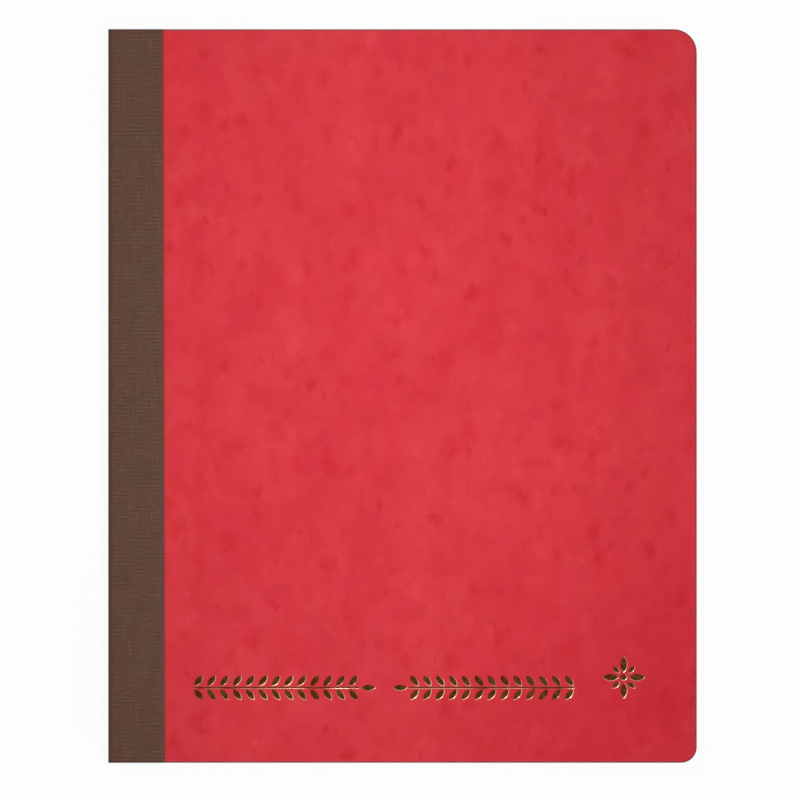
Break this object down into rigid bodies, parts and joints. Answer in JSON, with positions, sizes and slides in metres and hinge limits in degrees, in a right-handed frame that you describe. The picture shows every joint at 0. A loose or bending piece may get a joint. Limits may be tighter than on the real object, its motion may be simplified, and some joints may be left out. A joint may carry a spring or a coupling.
{
  "type": "cash book",
  "caption": "Quarter-bound cash book with glossy pressboard covers, a woven cloth spine strip, rounded fore-edge corners and sewn sections of ruled leaves that open flat.",
  "frame": {"origin": "under the middle of the closed book, on the surface it lies on", "axes": "+X from the spine to the fore-edge, +Y from the tail to the head, +Z out of the front cover"},
  "size_m": [0.2166, 0.27, 0.0075],
  "materials": {
    "board": "glazed red pressboard, softly mottled",
    "cloth": "fine plain-woven brown book cloth, matt",
    "endpaper": "smooth ivory wove paper",
    "leaf_paper": "smooth ivory wove paper with ledger ruling",
    "mull": "open starched gauze",
    "thread": "twisted linen sewing thread",
    "foil": "dark bronze blocking foil, on the ornament that is pressed into the front cover"
  },
  "bodies": {
    "rear_leaves": {"back_flyleaf": "endpaper", "leaf_40": "leaf_paper", "leaf_39": "leaf_paper", "leaf_38": "leaf_paper", "leaf_37": "leaf_paper", "leaf_36": "leaf_paper", "leaf_35": "leaf_paper", "leaf_34": "leaf_paper", "leaf_33": "leaf_paper", "leaf_32": "leaf_paper", "leaf_31": "leaf_paper", "leaf_30": "leaf_paper", "leaf_29": "leaf_paper", "leaf_28": "leaf_paper", "leaf_27": "leaf_paper", "leaf_26": "leaf_paper", "leaf_25": "leaf_paper"},
    "back_cover": {"back_board": "board", "cloth_back_flap": "cloth", "back_pastedown": "endpaper"},
    "spine": {"cloth_spine": "cloth", "spine_mull": "mull", "section_1_fold": "leaf_paper", "section_2_fold": "leaf_paper", "section_3_fold": "leaf_paper", "section_4_fold": "leaf_paper", "section_5_fold": "leaf_paper", "sewing_thread": "thread"},
    "front_leaves": {"front_flyleaf": "endpaper", "leaf_01": "leaf_paper", "leaf_02": "leaf_paper", "leaf_03": "leaf_paper", "leaf_04": "leaf_paper", "leaf_05": "leaf_paper", "leaf_06": "leaf_paper", "leaf_07": "leaf_paper", "leaf_08": "leaf_paper", "leaf_09": "leaf_paper", "leaf_10": "leaf_paper", "leaf_11": "leaf_paper", "leaf_12": "leaf_paper", "leaf_13": "leaf_paper", "leaf_14": "leaf_paper", "leaf_15": "leaf_paper", "leaf_16": "leaf_paper"},
    "front_cover": {"front_board": "board", "cloth_front_flap": "cloth", "front_pastedown": "endpaper"},
    "leaf_17": {"leaf_17": "leaf_paper"},
    "leaf_18": {"leaf_18": "leaf_paper"},
    "leaf_19": {"leaf_19": "leaf_paper"},
    "leaf_20": {"leaf_20": "leaf_paper"},
    "leaf_21": {"leaf_21": "leaf_paper"},
    "leaf_22": {"leaf_22": "leaf_paper"},
    "leaf_23": {"leaf_23": "leaf_paper"},
    "leaf_24": {"leaf_24": "leaf_paper"}
  },
  "joints": [
    {"name": "book_opening", "type": "hinge", "parent": "rear_leaves", "child": "spine", "pos_m": [-0.1083, 0, 0], "axis": [0, -1, 0], "range_deg": [0, 90]},
    {"name": "front_block_turn", "type": "hinge", "parent": "spine", "child": "front_leaves", "pos_m": [-0.1083, 0, 0.00748], "axis": [0, -1, 0], "range_deg": [0, 90]},
    {"name": "front_cover_hinge", "type": "hinge", "parent": "front_leaves", "child": "front_cover", "pos_m": [-0.1083, 0, 0.00798], "axis": [0, 1, 0], "range_deg": [-180, 0]},
    {"name": "back_cover_hinge", "type": "hinge", "parent": "rear_leaves", "child": "back_cover", "pos_m": [-0.1083, 0, -0.00003], "axis": [0, -1, 0], "range_deg": [-180, 0]},
    {"name": "leaf_17_turn", "type": "hinge", "parent": "spine", "child": "leaf_17", "pos_m": [-0.1083, 0, 0.0074], "axis": [0, -1, 0], "range_deg": [0, 88.01]},
    {"name": "leaf_18_turn", "type": "hinge", "parent": "spine", "child": "leaf_18", "pos_m": [-0.1083, 0, 0.00735], "axis": [0, -1, 0], "range_deg": [0, 86.81]},
    {"name": "leaf_19_turn", "type": "hinge", "parent": "spine", "child": "leaf_19", "pos_m": [-0.1083, 0, 0.00729], "axis": [0, -1, 0], "range_deg": [0, 85.41]},
    {"name": "leaf_20_turn", "type": "hinge", "parent": "spine", "child": "leaf_20", "pos_m": [-0.1083, 0, 0.00723], "axis": [0, -1, 0], "range_deg": [0, 84.01]},
    {"name": "leaf_21_turn", "type": "hinge", "parent": "spine", "child": "leaf_21", "pos_m": [-0.1083, 0, 0.00025], "axis": [0, -1, 0], "range_deg": [-84.01, 0]},
    {"name": "leaf_22_turn", "type": "hinge", "parent": "spine", "child": "leaf_22", "pos_m": [-0.1083, 0, 0.00019], "axis": [0, -1, 0], "range_deg": [-85.41, 0]},
    {"name": "leaf_23_turn", "type": "hinge", "parent": "spine", "child": "leaf_23", "pos_m": [-0.1083, 0, 0.00013], "axis": [0, -1, 0], "range_deg": [-86.81, 0]},
    {"name": "leaf_24_turn", "type": "hinge", "parent": "spine", "child": "leaf_24", "pos_m": [-0.1083, 0, 0.00008], "axis": [0, -1, 0], "range_deg": [-88.01, 0]}
  ],
  "couplings": [
    {"joint": "front_block_turn", "follows": "book_opening", "ratio": 1},
    {"joint": "leaf_17_turn", "follows": "book_opening", "ratio": 0.97778},
    {"joint": "leaf_18_turn", "follows": "book_opening", "ratio": 0.96444},
    {"joint": "leaf_19_turn", "follows": "book_opening", "ratio": 0.94889},
    {"joint": "leaf_20_turn", "follows": "book_opening", "ratio": 0.93333},
    {"joint": "leaf_21_turn", "follows": "book_opening", "ratio": -0.93333},
    {"joint": "leaf_22_turn", "follows": "book_opening", "ratio": -0.94889},
    {"joint": "leaf_23_turn", "follows": "book_opening", "ratio": -0.96444},
    {"joint": "leaf_24_turn", "follows": "book_opening", "ratio": -0.97778}
  ]
}
